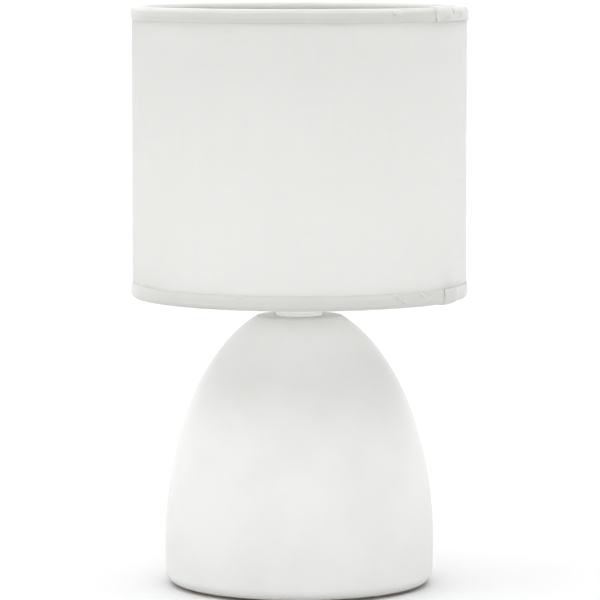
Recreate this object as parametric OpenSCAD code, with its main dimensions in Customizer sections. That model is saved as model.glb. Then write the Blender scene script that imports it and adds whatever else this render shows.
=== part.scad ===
// Table lamp: a bullet-shaped ceramic base, an E14 lampholder on a threaded nipple,
// and a fabric drum shade on a wire spider. Millimetres, +Z up.
// The origin is the centre of the underside, at the plane of the feet.
// The front faces -Y, and the cable leaves at the rear, +Y.

/* [Ceramic base] */
// Largest outer radius of the base
base_r = 55.9; // [46:0.1:66]
// Height of the base's flat top above the surface it stands on
base_h = 112; // [93:0.2:135]
// Outer radius of the flat top
base_top_r = 17.6; // [15:0.1:21]
// Height at which the base is widest
waist_z = 17; // [12:0.5:22]
// Radius of the rounded edge at the foot
foot_round = 4.5; // [2:0.1:8]
// How much the base draws in from its waist to its foot
foot_taper = 0.4; // [0:0.1:2]
// Thickness of the cast side wall
base_wall = 5; // [3.5:0.1:6]
// Thickness of the cast top
crown_t = 6; // [4:0.1:8]
// Thickness of the floor ring
floor_t = 5; // [3:0.1:7]
// Radius of the opening in the floor
floor_open_r = 35; // [28:0.5:38]

/* [Feet] */
// Number of felt feet
pad_count = 4; // [3:1:6]
// Radius of a foot
pad_r = 5; // [3.5:0.1:6]
// Height of a foot
pad_t = 1; // [0.8:0.1:2]

/* [Cable inlet] */
// Height of the inlet's axis
inlet_z = 15; // [14:0.5:20]
// Radius of the hole in the ceramic
inlet_hole_r = 4.5; // [3.5:0.1:6]
// Radius of the grommet's bore
inlet_bore_r = 3; // [2:0.1:3]
// How far the grommet's flanges stand past its body
grommet_lip = 1.7; // [1:0.1:3]
// Thickness of the grommet's flanges
grommet_lip_t = 1.4; // [1:0.1:2]

/* [Nipple and fixings] */
// Outer radius of the threaded nipple
nipple_r = 5; // [4.5:0.1:6]
// Radius of the nipple's wire passage
nipple_bore_r = 3.75; // [2.5:0.05:3.8]
// How far the nipple reaches below the nut
nipple_tail = 1.5; // [0.5:0.1:4]
// How far the nipple reaches into the lampholder
nipple_engage = 3.4; // [2:0.1:3.6]
// Thickness of the rubber washer under the crown
rubber_washer_t = 1.2; // [0.8:0.1:2]
// Radius of the rubber washer
rubber_washer_r = 11; // [9:0.1:12]
// Thickness of the steel clamp washer
clamp_washer_t = 1.2; // [0.8:0.1:2]
// Radius of the steel clamp washer
clamp_washer_r = 12; // [10:0.1:13]
// Thickness of the toothed lock washer
lock_washer_t = 0.8; // [0.5:0.1:1.2]
// Width of the lock washer's rim, inside its teeth
lock_rim_w = 1.4; // [1:0.1:2.5]
// Thickness of the nut
nut_t = 4; // [3:0.1:6]
// Width of the nut across its flats
nut_across_flats = 14; // [13:0.1:17]

/* [Neck] */
// Outer radius of the neck collar
neck_r = 10; // [9:0.1:13]
// Height of the neck collar
neck_h = 9; // [6:0.5:16]
// Thickness of the gasket under the collar
gasket_t = 1; // [0.6:0.1:2]
// How far the gasket's edge lies inside the collar's
gasket_inset = 0.4; // [0.2:0.1:1]

/* [Lampholder] */
// Radius over the crests of the holder's outer thread
holder_r = 14; // [13.5:0.05:17]
// Wall of the holder's plastic shells
holder_wall = 1.7; // [1.4:0.1:2]
// Height of the holder's cap
cap_h = 19; // [17:0.5:24]
// Height of the holder's skirt above the cap
skirt_h = 31; // [29:0.5:36]
// How far the shade flange stands out from the skirt
flange_reach = 3; // [2:0.1:4]
// Thickness of the shade flange
flange_t = 2; // [1.5:0.1:3]

/* [Shade] */
// Outer radius of the shade's fabric
shade_r = 69; // [57:0.1:83]
// Height of the shade
shade_h = 120; // [100:1:144]
// Gap between the base's top and the shade's lower edge
shade_gap = 8; // [4:0.5:12]
// Thickness of the fabric
fabric_t = 0.4; // [0.3:0.05:0.8]
// Thickness of the stiff liner behind the fabric
liner_t = 0.5; // [0.3:0.05:0.8]
// Thickness of the folded trim tape
trim_t = 0.6; // [0.4:0.05:1]
// Height of the top trim
top_trim_h = 5.6; // [5:0.1:9]
// Height of the bottom trim
bottom_trim_h = 6.2; // [5:0.1:9]
// Radius of the wire of the shade's two rings
wire_r = 1.4; // [1.1:0.05:1.6]

/* [Spider] */
// Number of spider arms
arm_count = 3; // [3:1:4]
// Radius of a spider arm's wire
arm_r = 1.4; // [1.1:0.05:1.7]
// Radius of the bend in a spider arm, at its centreline
arm_bend_r = 7; // [4:0.5:10]
// Radius of the fitter's hole
fitter_hole_r = 21; // [20.5:0.1:25.5]
// Width of the fitter's flat
fitter_flat = 5; // [4:0.1:7]
// Thickness of the fitter's sheet
fitter_t = 1.2; // [0.8:0.1:1.5]
// Depth of the fitter's turned-down skirt
fitter_skirt = 4; // [3:0.1:5]

/* [Reducer and shade ring] */
// Thickness of the reducer's plate
reducer_plate_t = 1.5; // [1:0.1:2.5]
// How far the reducer's snap lip stands past the fitter's hole
snap_lip = 0.5; // [0.3:0.05:1]
// Height of the snap lip
snap_lip_h = 1.1; // [0.8:0.1:1.5]
// Height of the shade ring
shade_ring_h = 5.5; // [4:0.1:8]
// Wall of the shade ring behind its grip
shade_ring_wall = 4; // [3:0.1:5.5]
// Number of grip notches round the shade ring
grip_count = 20; // [12:1:28]

/* [Bulb] */
// Outer radius of the bulb's glass
bulb_r = 12.5; // [10:0.1:13]
// Length of the bulb from its contact to the top of its glass
bulb_l = 85; // [75:1:104]
// Thickness of the glass
glass_t = 0.6; // [0.5:0.05:0.9]
// Number of filament sticks
filament_count = 4; // [2:1:6]
// Length of a filament stick
filament_l = 30; // [18:1:32]
// Radius of a filament stick
filament_r = 0.7; // [0.4:0.05:0.9]

/* [Clearances] */
// Running clearance of a turning fit, on the radius
run_gap = 0.1; // [0.03:0.01:0.1]
// Clearance of a threaded or dropped-in fixing, on the radius
fix_gap = 0.05; // [0.02:0.01:0.1]
// Clearance of a washer, the gasket or the collar round the nipple, on the radius
washer_gap = 0.2; // [0.1:0.05:0.4]
// Clearance of the reducer and the shade ring over the holder's thread
slip_gap = 0.3; // [0.2:0.05:0.6]
// Radial clearance between the bulb's thread and its shell
thread_gap = 0.22; // [0.2:0.01:0.3]
// How far welded wires sink into each other
weld = 0.3; // [0.1:0.05:0.5]

/* [Hidden] */
$fn = 96;
eps = 0.01; // how far a cutting tool runs past the face that it cuts
touch_gap = 0.02; // between two faces that rest on each other but must not meet

// Base: the side is a quarter ellipse from the waist up to the rim of the flat top.
arc_steps = 30;
corner_steps = 6;
side_angle = acos(base_top_r / base_r);
side_b = (base_h - waist_z) / sin(side_angle);
cavity_r = base_r - base_wall;
cavity_b = side_b - base_wall;
cavity_top_z = base_h - crown_t;
cavity_angle = asin((cavity_top_z - waist_z) / cavity_b);
cavity_round = 4;
floor_z = pad_t + floor_t;
foot_r = base_r - foot_taper - foot_round;
pad_ring_r = (floor_open_r + foot_r) / 2;
nipple_hole_r = nipple_r + 2 * washer_gap;

// Cable inlet: the grommet's flanges clamp the wall from both sides.
inlet_body_r = inlet_hole_r - run_gap;
inlet_flange_r = inlet_hole_r + grommet_lip;
inlet_inner_y = sqrt(pow(cavity_r, 2) - pow(inlet_flange_r, 2)) - run_gap;
inlet_outer_y = base_r + touch_gap;

// The stack of fixings, downwards from the crown.
rubber_washer_z = cavity_top_z - rubber_washer_t;
clamp_washer_z = rubber_washer_z - clamp_washer_t;
lock_washer_z = clamp_washer_z - lock_washer_t;
nut_z = lock_washer_z - nut_t;
lock_rim_r = nipple_r + washer_gap + lock_rim_w;
lock_tooth_l = 1; // how far the teeth stand out of the washer's rim
lock_tooth_root = 0.6; // how far they reach into it
lock_tooth_count = 14;

// Holder heights, upwards from the base's flat top.
collar_z = base_h + gasket_t;
holder_z = collar_z + neck_h;
seam_z = holder_z + cap_h;
seat_z = seam_z + flange_t;
holder_top_z = seam_z + skirt_h;
boss_r = 9;
boss_h = 4;
boss_bore_r = nipple_r + fix_gap;
grub_r = 1.5;
grub_z = holder_z + boss_h / 2;
cap_flare_h = 8;
holder_inner_r = holder_r - holder_wall;
core_r = holder_inner_r - washer_gap;
core_bottom_z = seam_z - 4;
well_z = seam_z + 4;
well_r = 6.2;
shell_seat_z = well_z + 4.5;
core_tube_r = 8.1;
core_tube_wall = 1.4;
core_top_z = seam_z + 24;
skirt_lip_r = 10.4;
skirt_lip_t = 1.2;
contact_t = 0.4;
contact_w = 3.2;
contact_edge = 0.3;
terminal_x = 4;
terminal_r = 1.25;
terminal_head_r = 2.4;
terminal_head_h = 1.7;
strap_outer_x = well_r - run_gap;
strap_lug = 1.1;
tongue_angle = 12;

// E14 thread: one wavy wall serves the bulb's cap and the shell that it turns in.
thread_pitch = 2.822;
thread_mean_r = 6.5;
thread_wave = 0.38;
thread_sides = 20;
thread_rings = 6;
thread_turns = 4.5;
thread_l = thread_pitch * thread_turns;
shell_t = 0.35;
bulb_cap_t = 0.3;

// Bulb heights, from its contact upwards.
tip_z = well_z + 1.5;
tip_top_z = tip_z + 1.1;
tip_edge = 0.5;
insulator_z = tip_z + 0.7;
insulator_top_z = tip_z + 4.5;
insulator_neck_r = 3.6;
contact_r = 2.4;
cap_thread_z = tip_z + 3.4;
bulb_cap_top_z = tip_z + 25;
bulb_cap_flare_gap = 0.6;
bulb_cap_flare_z = core_top_z + bulb_cap_flare_gap;
bulb_cap_flare_h = 2.4;
bulb_cap_crest_r = thread_mean_r + thread_wave;
bulb_cap_rim_r = 8.5;
cap_bore_r = thread_mean_r - thread_wave - bulb_cap_t - run_gap;
insulator_r = cap_bore_r - run_gap;
cement_t = 0.5; // between the cap and the glass
glass_neck_r = bulb_cap_rim_r - bulb_cap_t - cement_t;
glass_bottom_z = bulb_cap_top_z - 3;
glass_shoulder_h = 9;
glass_top_z = tip_z + bulb_l;
stem_flange_t = 1;
stem_rod_r = 1.5;
stem_cone_h = 9;
filament_top_gap = 1;
filament_top_z = glass_top_z - bulb_r - filament_top_gap;
filament_z = filament_top_z - filament_l;
stem_tip_l = 2;
stem_top_z = filament_top_z + stem_tip_l;
filament_ring_r = 5.2;
lead_r = 0.25;

// Shade: the fabric and its liner are a drum, and the trims roll over the two rings.
shade_z = base_h + shade_gap;
shade_top_z = shade_z + shade_h;
liner_r = shade_r - fabric_t;
liner_inner_r = liner_r - liner_t;
ring_gap = 0.3; // folded tape between a ring and the liner
ring_r = liner_inner_r - wire_r - ring_gap;
roll_r = wire_r + trim_t;
drum_edge_gap = 0.6;
drum_inset = trim_t + drum_edge_gap;
trim_corner_r = 1.4;
trim_outer_r = shade_r + trim_t;

// Spider, fitter and reducer, from the holder's flange upwards and outwards.
arm_turn = 90;
leg_r = ring_r - wire_r - arm_r + weld;
ring_z = shade_z + roll_r;
plate_z = seat_z + reducer_plate_t;
lip_z = plate_z + fitter_t + 2 * run_gap;
reducer_top_z = lip_z + snap_lip_h;
fitter_outer_r = fitter_hole_r + fitter_flat;
plate_r = fitter_outer_r - fitter_t - slip_gap;
reducer_bore_r = holder_r + slip_gap;
arm_z = plate_z - fitter_skirt / 2;
trim_pocket_gap = 0.2;
grip_r = 0.9;
shade_ring_r = holder_r + slip_gap + shade_ring_wall;
shade_ring_foot_t = 1.2;
shade_ring_foot_reach = 1;

// Points of an arc or of a quarter ellipse, from angle a0 to angle a1.
function arc(x, z, rx, rz, a0, a1, steps) =
    [for (i = [0:steps]) let (a = a0 + (a1 - a0) * i / steps) [x + rx * cos(a), z + rz * sin(a)]];

// A solid turned round the Z axis from an outline of [radius, height] points.
module turned(points) {
    rotate_extrude() polygon(points);
}

module ring(outer, inner, h) {
    linear_extrude(h) difference() {
        circle(outer);
        circle(inner);
    }
}

module round_bar(a, b, r) {
    v = b - a;
    translate(a)
        rotate([0, acos(v[2] / norm(v)), atan2(v[1], v[0])])
            cylinder(r = r, h = norm(v));
}

// Outlines of the base's outer surface and of its cavity.
base_outline = concat(
    [[0, pad_t]],
    arc(foot_r, pad_t + foot_round, foot_round, foot_round, -90, 0, corner_steps),
    arc(0, waist_z, base_r, side_b, 0, side_angle, arc_steps),
    [[0, base_h]]
);
cavity_outline = concat(
    [[0, floor_z]],
    arc(cavity_r - cavity_round, floor_z + cavity_round, cavity_round, cavity_round, -90, 0, corner_steps),
    arc(0, waist_z, cavity_r, cavity_b, 0, cavity_angle, arc_steps),
    [[0, cavity_top_z]]
);

module base_shell() {
    color("#f2f2f0") difference() {
        turned(base_outline);
        turned(cavity_outline);
        translate([0, 0, pad_t - eps]) cylinder(r = floor_open_r, h = floor_t + 2 * eps);
        translate([0, 0, cavity_top_z - eps]) cylinder(r = nipple_hole_r, h = crown_t + 2 * eps);
        translate([0, cavity_r / 2, inlet_z]) rotate([-90, 0, 0]) cylinder(r = inlet_hole_r, h = base_r);
    }
}

module foot_pads() {
    color("#e9e7e1") for (i = [0:pad_count - 1])
        rotate(360 / pad_count * (i + 0.5)) translate([pad_ring_r, 0, 0]) cylinder(r = pad_r, h = pad_t);
}

module cable_grommet() {
    color("#eeeeec") translate([0, 0, inlet_z]) rotate([-90, 0, 0]) difference() {
        union() {
            translate([0, 0, inlet_inner_y - eps])
                cylinder(r = inlet_body_r, h = inlet_outer_y - inlet_inner_y + 2 * eps);
            translate([0, 0, inlet_outer_y]) cylinder(r = inlet_flange_r, h = grommet_lip_t);
            translate([0, 0, inlet_inner_y - grommet_lip_t]) cylinder(r = inlet_flange_r, h = grommet_lip_t);
        }
        translate([0, 0, inlet_inner_y - grommet_lip_t - eps])
            cylinder(r = inlet_bore_r, h = inlet_outer_y - inlet_inner_y + 2 * (grommet_lip_t + eps));
    }
}

module rubber_washer() {
    color("#2b2b2b") translate([0, 0, rubber_washer_z])
        ring(rubber_washer_r, nipple_r + washer_gap, rubber_washer_t);
}

module clamp_washer() {
    color("#b8bcc0") translate([0, 0, clamp_washer_z])
        ring(clamp_washer_r, nipple_r + washer_gap, clamp_washer_t);
}

// Each tooth is a bar that starts inside the washer's rim.
module lock_washer() {
    tooth_w = 1.4;
    color("#a9adb1") translate([0, 0, lock_washer_z]) linear_extrude(lock_washer_t) difference() {
        union() {
            circle(lock_rim_r);
            for (i = [0:lock_tooth_count - 1]) rotate(360 / lock_tooth_count * i)
                translate([lock_rim_r - lock_tooth_root, -tooth_w / 2])
                    square([lock_tooth_l + lock_tooth_root, tooth_w]);
        }
        circle(nipple_r + washer_gap);
    }
}

module nipple_nut() {
    color("#c8a552") translate([0, 0, nut_z]) linear_extrude(nut_t) difference() {
        circle(nut_across_flats / 2 / cos(30), $fn = 6);
        circle(nipple_r + fix_gap);
    }
}

module threaded_nipple() {
    bottom_z = nut_z - nipple_tail;
    color("#c4c8cc") translate([0, 0, bottom_z])
        ring(nipple_r, nipple_bore_r, holder_z + nipple_engage - bottom_z);
}

module neck_gasket() {
    color("#dedede") translate([0, 0, base_h]) ring(neck_r - gasket_inset, nipple_r + washer_gap, gasket_t);
}

module neck_collar() {
    edge = 0.6;
    color("#f0f0ee") turned([
        [nipple_r + washer_gap, collar_z], [neck_r, collar_z], [neck_r, holder_z - edge],
        [neck_r - edge, holder_z], [nipple_r + washer_gap, holder_z]
    ]);
}

// A domed cap: its boss takes the nipple and a grub screw locks it.
module holder_cap() {
    flare_z = holder_z + boss_h;
    outer = concat(
        [[boss_bore_r, holder_z], [boss_r, holder_z]],
        arc(boss_r, flare_z + cap_flare_h, holder_r - boss_r, cap_flare_h, -90, 0, corner_steps),
        [[holder_r, seam_z], [holder_inner_r, seam_z]],
        arc(boss_r, flare_z + cap_flare_h, holder_inner_r - boss_r, cap_flare_h - holder_wall, 0, -90,
            corner_steps),
        [[boss_bore_r, flare_z + holder_wall]]
    );
    color("#f4f4f2") difference() {
        turned(outer);
        translate([0, 0, grub_z]) rotate([-90, 0, 0]) cylinder(r = grub_r + fix_gap, h = holder_r);
    }
}

module holder_grub_screw() {
    socket_r = 0.85;
    socket_l = 1.4;
    start_y = nipple_r + fix_gap;
    end_y = boss_r - run_gap;
    color("#9fa3a7") translate([0, 0, grub_z]) rotate([-90, 0, 0]) difference() {
        translate([0, 0, start_y]) cylinder(r = grub_r, h = end_y - start_y);
        translate([0, 0, end_y - socket_l]) cylinder(r = socket_r, h = socket_l + eps, $fn = 6);
    }
}

// An insulating core: a disc with a well for the contacts, and a tube round the screw shell.
module holder_core() {
    tube_outer_r = core_tube_r + core_tube_wall;
    color("#e6e2d8") difference() {
        turned([
            [0, core_bottom_z], [core_r, core_bottom_z], [core_r, well_z], [tube_outer_r, well_z],
            [tube_outer_r, core_top_z], [core_tube_r, core_top_z], [core_tube_r, shell_seat_z],
            [well_r, shell_seat_z], [well_r, well_z], [0, well_z]
        ]);
        for (x = [-terminal_x, terminal_x]) translate([x, 0, core_bottom_z - eps])
            cylinder(r = terminal_r + fix_gap, h = well_z - core_bottom_z + 2 * eps);
        translate([strap_outer_x - contact_t, -contact_w / 2 - run_gap, well_z])
            cube([contact_t + strap_lug + run_gap, contact_w + 2 * run_gap, shell_seat_z - well_z + eps]);
    }
}

// A flat brass strip whose tongue rises towards the bulb's contact.
module centre_contact() {
    flat_x = -terminal_x - terminal_r - contact_edge;
    bend_x = -terminal_x + terminal_r + 2 * contact_edge;
    tongue_l = contact_w / 2 - bend_x;
    color("#c9a44a") difference() {
        translate([0, 0, well_z]) union() {
            translate([flat_x, -contact_w / 2, 0]) cube([bend_x - flat_x, contact_w, contact_t]);
            translate([bend_x, -contact_w / 2, 0]) rotate([0, -tongue_angle, 0])
                cube([tongue_l, contact_w, contact_t]);
        }
        translate([-terminal_x, 0, well_z - eps]) cylinder(r = terminal_r + fix_gap, h = contact_t + 2 * eps);
    }
}

// A brass strap from its terminal up to the underside of the screw shell.
module shell_strap() {
    inner_x = strap_outer_x - contact_t;
    start_x = terminal_x - terminal_r - contact_edge;
    color("#c9a44a") difference() {
        translate([0, -contact_w / 2, 0]) union() {
            translate([start_x, 0, well_z]) cube([strap_outer_x - start_x, contact_w, contact_t]);
            translate([inner_x, 0, well_z]) cube([contact_t, contact_w, shell_seat_z - well_z]);
            translate([inner_x, 0, shell_seat_z - contact_t])
                cube([contact_t + strap_lug, contact_w, contact_t]);
        }
        translate([terminal_x, 0, well_z - eps])
            cylinder(r = terminal_r + fix_gap, h = contact_t + 2 * eps);
    }
}

module terminal_screws() {
    slot_w = 0.7;
    slot_d = 0.8;
    color("#b9bdc1") for (x = [-terminal_x, terminal_x]) translate([x, 0, core_bottom_z]) difference() {
        union() {
            cylinder(r = terminal_r, h = well_z + contact_t - core_bottom_z);
            translate([0, 0, -terminal_head_h]) cylinder(r = terminal_head_r, h = terminal_head_h);
        }
        translate([-terminal_head_r, -slot_w / 2, -terminal_head_h - eps])
            cube([2 * terminal_head_r, slot_w, slot_d]);
    }
}

// Rings of [height, radius, wave] for a stretch of thread. Both ends fade to its crest (side 1) or to
// its root (side -1), so that a faded end never stands in the way of the thread that it turns in.
function thread(z0, l, r, side, up = true) =
    let (n = round(l / thread_pitch * thread_rings))
    [for (k = [0:n]) let (i = up ? k : n - k, fade = min(1, i / 2, (n - i) / 2))
        [z0 + l * i / n, r + side * thread_wave * (1 - fade), thread_wave * fade]];

// A closed wall from a loop of rings. The wave runs round each ring as a right-hand helix.
module wavy_wall(rings) {
    n = len(rings);
    m = thread_sides;
    points = [for (q = rings, j = [0:m - 1])
        let (a = 360 / m * j, r = q[1] + q[2] * cos(a - 360 * (q[0] - shell_seat_z) / thread_pitch))
        [r * cos(a), r * sin(a), q[0]]];
    faces = [for (i = [0:n - 1], j = [0:m - 1], half = [0, 1])
        let (i2 = (i + 1) % n, j2 = (j + 1) % m)
        half == 0 ? [i * m + j, i2 * m + j2, i * m + j2] : [i * m + j, i2 * m + j, i2 * m + j2]];
    polyhedron(points, faces);
}

module screw_shell() {
    inner = thread_mean_r + thread_gap;
    color("#cbb26a") wavy_wall(concat(
        thread(shell_seat_z, thread_l, inner + shell_t, 1),
        thread(shell_seat_z, thread_l, inner, 1, up = false)
    ));
}

// The threaded skirt: its flange carries the shade and its lip guards the shell's mouth.
module holder_skirt() {
    flange_r = holder_r + flange_reach;
    color("#f4f4f2") turned([
        [holder_inner_r, seam_z], [flange_r, seam_z], [flange_r, seat_z], [holder_r, seat_z],
        [holder_r, holder_top_z], [skirt_lip_r, holder_top_z], [skirt_lip_r, holder_top_z - skirt_lip_t],
        [holder_inner_r, holder_top_z - skirt_lip_t]
    ]);
}

// The reducer narrows the fitter's hole to the holder, and the fitter snaps under its lip.
module reducer_ring() {
    boss = fitter_hole_r - run_gap;
    lip = fitter_hole_r + snap_lip;
    color("#f4f4f2") turned([
        [reducer_bore_r, seat_z], [plate_r, seat_z], [plate_r, plate_z], [boss, plate_z], [boss, lip_z],
        [lip, lip_z], [boss - snap_lip / 2, reducer_top_z], [reducer_bore_r, reducer_top_z]
    ]);
}

module drum(outer, t) {
    translate([0, 0, shade_z + drum_inset]) ring(outer, outer - t, shade_h - 2 * drum_inset);
}

module shade_fabric() {
    color("#f3f3f0") drum(shade_r, fabric_t);
}

module shade_liner() {
    color("#f8f8f6") drum(liner_r, liner_t);
}

// Half-section of a trim whose rolled edge lies at height 0 and whose band runs up to h.
module trim_section(h) {
    corner_x = trim_outer_r - trim_corner_r;
    difference() {
        union() {
            translate([ring_r, roll_r]) circle(roll_r);
            translate([corner_x, trim_corner_r]) circle(trim_corner_r);
            translate([ring_r, 0]) square([corner_x - ring_r, roll_r]);
            translate([corner_x, trim_corner_r]) square([trim_corner_r, h - trim_corner_r]);
        }
        translate([ring_r, roll_r]) circle(wire_r);
        translate([liner_inner_r, drum_inset]) square([shade_r - liner_inner_r, h]);
    }
}

module shade_top_trim() {
    color("#eeeeeb") translate([0, 0, shade_top_z]) mirror([0, 0, 1])
        rotate_extrude() trim_section(top_trim_h);
}

// The bottom trim has a pocket where each spider arm reaches the ring.
module shade_bottom_trim() {
    color("#eeeeeb") difference() {
        translate([0, 0, shade_z]) rotate_extrude() trim_section(bottom_trim_h);
        for (i = [0:arm_count - 1]) rotate(arm_turn + 360 / arm_count * i)
            translate([leg_r, 0, ring_z - arm_r - trim_pocket_gap])
                cylinder(r = arm_r + trim_pocket_gap, h = 3 * roll_r);
    }
}

module wire_ring(z) {
    translate([0, 0, z]) rotate_extrude() translate([ring_r, 0]) circle(wire_r, $fn = 32);
}

module shade_top_ring() {
    color("#f5f5f5") wire_ring(shade_top_z - roll_r);
}

module shade_bottom_ring() {
    color("#f5f5f5") wire_ring(ring_z);
}

// One arm: a level bar from the fitter, a bend, and a leg down to the bottom ring.
module arm() {
    start = fitter_outer_r - weld;
    bend_x = leg_r - arm_bend_r;
    bend_z = arm_z - arm_bend_r;
    foot_z = ring_z - arm_r;
    translate([start, 0, arm_z]) rotate([0, 90, 0]) cylinder(r = arm_r, h = bend_x - start);
    translate([bend_x, 0, bend_z]) rotate([90, 0, 0])
        rotate_extrude(angle = 90) translate([arm_bend_r, 0]) circle(arm_r, $fn = 32);
    translate([leg_r, 0, foot_z]) cylinder(r = arm_r, h = bend_z - foot_z);
}

module spider_arms() {
    color("#f5f5f5") for (i = [0:arm_count - 1]) rotate(arm_turn + 360 / arm_count * i) arm();
}

module fitter_ring() {
    skirt_z = plate_z - fitter_skirt;
    top_z = plate_z + fitter_t;
    color("#f5f5f5") turned([
        [fitter_hole_r, plate_z], [fitter_outer_r - fitter_t, plate_z], [fitter_outer_r - fitter_t, skirt_z],
        [fitter_outer_r, skirt_z], [fitter_outer_r, top_z], [fitter_hole_r, top_z]
    ]);
}

// The ring that screws down over the holder's thread and keeps the shade on its flange.
module shade_ring() {
    foot_r = shade_ring_r + shade_ring_foot_reach;
    bore_r = holder_r + slip_gap;
    grip_z = reducer_top_z + shade_ring_foot_t;
    top_z = reducer_top_z + shade_ring_h;
    color("#f4f4f2") difference() {
        turned([
            [bore_r, reducer_top_z], [foot_r, reducer_top_z], [foot_r, grip_z], [shade_ring_r, grip_z],
            [shade_ring_r, top_z], [bore_r, top_z]
        ]);
        for (i = [0:grip_count - 1]) rotate(360 / grip_count * i)
            translate([shade_ring_r + grip_r / 3, 0, grip_z]) cylinder(r = grip_r, h = shade_ring_h);
    }
}

module bulb_insulator() {
    color("#1e1e22") turned([
        [0, tip_top_z], [contact_r, tip_top_z], [contact_r, insulator_z], [insulator_neck_r, insulator_z],
        [insulator_r, cap_thread_z - bulb_cap_t], [insulator_r, insulator_top_z], [0, insulator_top_z]
    ]);
}

module bulb_contact() {
    color("#b9b9bd") turned([
        [0, tip_z], [contact_r - tip_edge, tip_z], [contact_r, tip_z + tip_edge], [contact_r, tip_top_z],
        [0, tip_top_z]
    ]);
}

module bulb_cap() {
    rim_in_r = bulb_cap_rim_r - bulb_cap_t;
    color("#c9ccd0") wavy_wall(concat(
        thread(cap_thread_z, thread_l, thread_mean_r, -1),
        [
            [bulb_cap_flare_z, bulb_cap_crest_r, 0], [bulb_cap_flare_z + bulb_cap_flare_h, bulb_cap_rim_r, 0],
            [bulb_cap_top_z, bulb_cap_rim_r, 0], [bulb_cap_top_z, rim_in_r, 0],
            [bulb_cap_flare_z + bulb_cap_flare_h, rim_in_r, 0], [bulb_cap_flare_z, cap_bore_r, 0],
            [cap_thread_z, cap_bore_r, 0]
        ]
    ));
}

// Outline of the glass at a distance t inside its outer surface.
function glass_outline(t) = concat(
    [[glass_neck_r - t, glass_bottom_z], [glass_neck_r - t, bulb_cap_top_z]],
    arc(glass_neck_r - t, bulb_cap_top_z + glass_shoulder_h, bulb_r - glass_neck_r, glass_shoulder_h, -60, 0,
        2 * corner_steps),
    arc(0, glass_top_z - bulb_r, bulb_r - t, bulb_r - t, 0, 90, 2 * corner_steps),
    [[0, glass_bottom_z]]
);

module bulb_glass() {
    color("#dfe8ee", 0.5) difference() {
        turned(glass_outline(0));
        turned(glass_outline(glass_t));
    }
}

module bulb_stem() {
    flange_r = glass_neck_r - glass_t;
    cone_z = glass_bottom_z + stem_flange_t;
    color("#dfe8ee") turned([
        [0, glass_bottom_z], [flange_r, glass_bottom_z], [flange_r, cone_z], [stem_rod_r, cone_z + stem_cone_h],
        [stem_rod_r, stem_top_z], [0, stem_top_z]
    ]);
}

module bulb_filaments() {
    color("#e8c040") for (i = [0:filament_count - 1]) rotate(360 / filament_count * (i + 0.5))
        translate([filament_ring_r, 0, filament_z]) cylinder(r = filament_r, h = filament_l);
}

// Radial leads hold each stick at its two ends.
module bulb_leads() {
    color("#c0c4c8") for (i = [0:filament_count - 1], z = [filament_z - lead_r, filament_top_z + lead_r])
        rotate(360 / filament_count * (i + 0.5))
            round_bar([stem_rod_r, 0, z], [filament_ring_r + filament_r, 0, z], lead_r);
}

base_shell();
foot_pads();
cable_grommet();
rubber_washer();
clamp_washer();
lock_washer();
nipple_nut();
threaded_nipple();
neck_gasket();
neck_collar();
holder_cap();
holder_grub_screw();
holder_core();
centre_contact();
shell_strap();
terminal_screws();
screw_shell();
holder_skirt();
reducer_ring();
shade_fabric();
shade_liner();
shade_top_trim();
shade_bottom_trim();
shade_top_ring();
shade_bottom_ring();
spider_arms();
fitter_ring();
shade_ring();
bulb_insulator();
bulb_contact();
bulb_cap();
bulb_glass();
bulb_stem();
bulb_filaments();
bulb_leads();
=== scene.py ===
import math
import bmesh
import bpy
from mathutils import Matrix, Vector, noise


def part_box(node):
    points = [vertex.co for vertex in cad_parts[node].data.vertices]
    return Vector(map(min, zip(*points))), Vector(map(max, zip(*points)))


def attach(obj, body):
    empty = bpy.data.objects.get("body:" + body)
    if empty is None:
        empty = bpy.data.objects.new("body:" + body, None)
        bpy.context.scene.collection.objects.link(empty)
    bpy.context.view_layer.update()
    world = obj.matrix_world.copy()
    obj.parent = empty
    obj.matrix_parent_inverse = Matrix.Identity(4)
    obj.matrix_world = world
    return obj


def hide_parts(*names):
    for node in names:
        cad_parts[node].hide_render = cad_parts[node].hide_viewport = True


# A small bedside lamp: a cast ceramic base, a short neck, an E14 holder with a tubular bulb and a fabric drum shade.
# Everything is in metres. The front of the lamp faces -Y, and the cable inlet is at the rear, +Y.
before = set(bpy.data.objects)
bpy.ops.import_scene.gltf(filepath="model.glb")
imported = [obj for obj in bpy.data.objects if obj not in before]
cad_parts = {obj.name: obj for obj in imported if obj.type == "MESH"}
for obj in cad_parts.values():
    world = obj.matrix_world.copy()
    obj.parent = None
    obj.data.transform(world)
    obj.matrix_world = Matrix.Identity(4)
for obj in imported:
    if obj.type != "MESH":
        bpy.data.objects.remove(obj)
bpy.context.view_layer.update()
mm = 0.001


def reach(node):
    # outer radius, bottom and top of a turned part, from the frame
    low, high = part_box(node)
    return high.x, low.z, high.z


def smoothStep(low, high, x):
    t = min(1.0, max(0.0, (x - low) / (high - low)))
    return t * t * (3 - 2 * t)


def fromFront(angle):
    # degrees to the right of the lamp's front, as an angle round +Z, from -180 to 180
    return (math.degrees(angle) + 90 + 180) % 360 - 180


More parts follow.
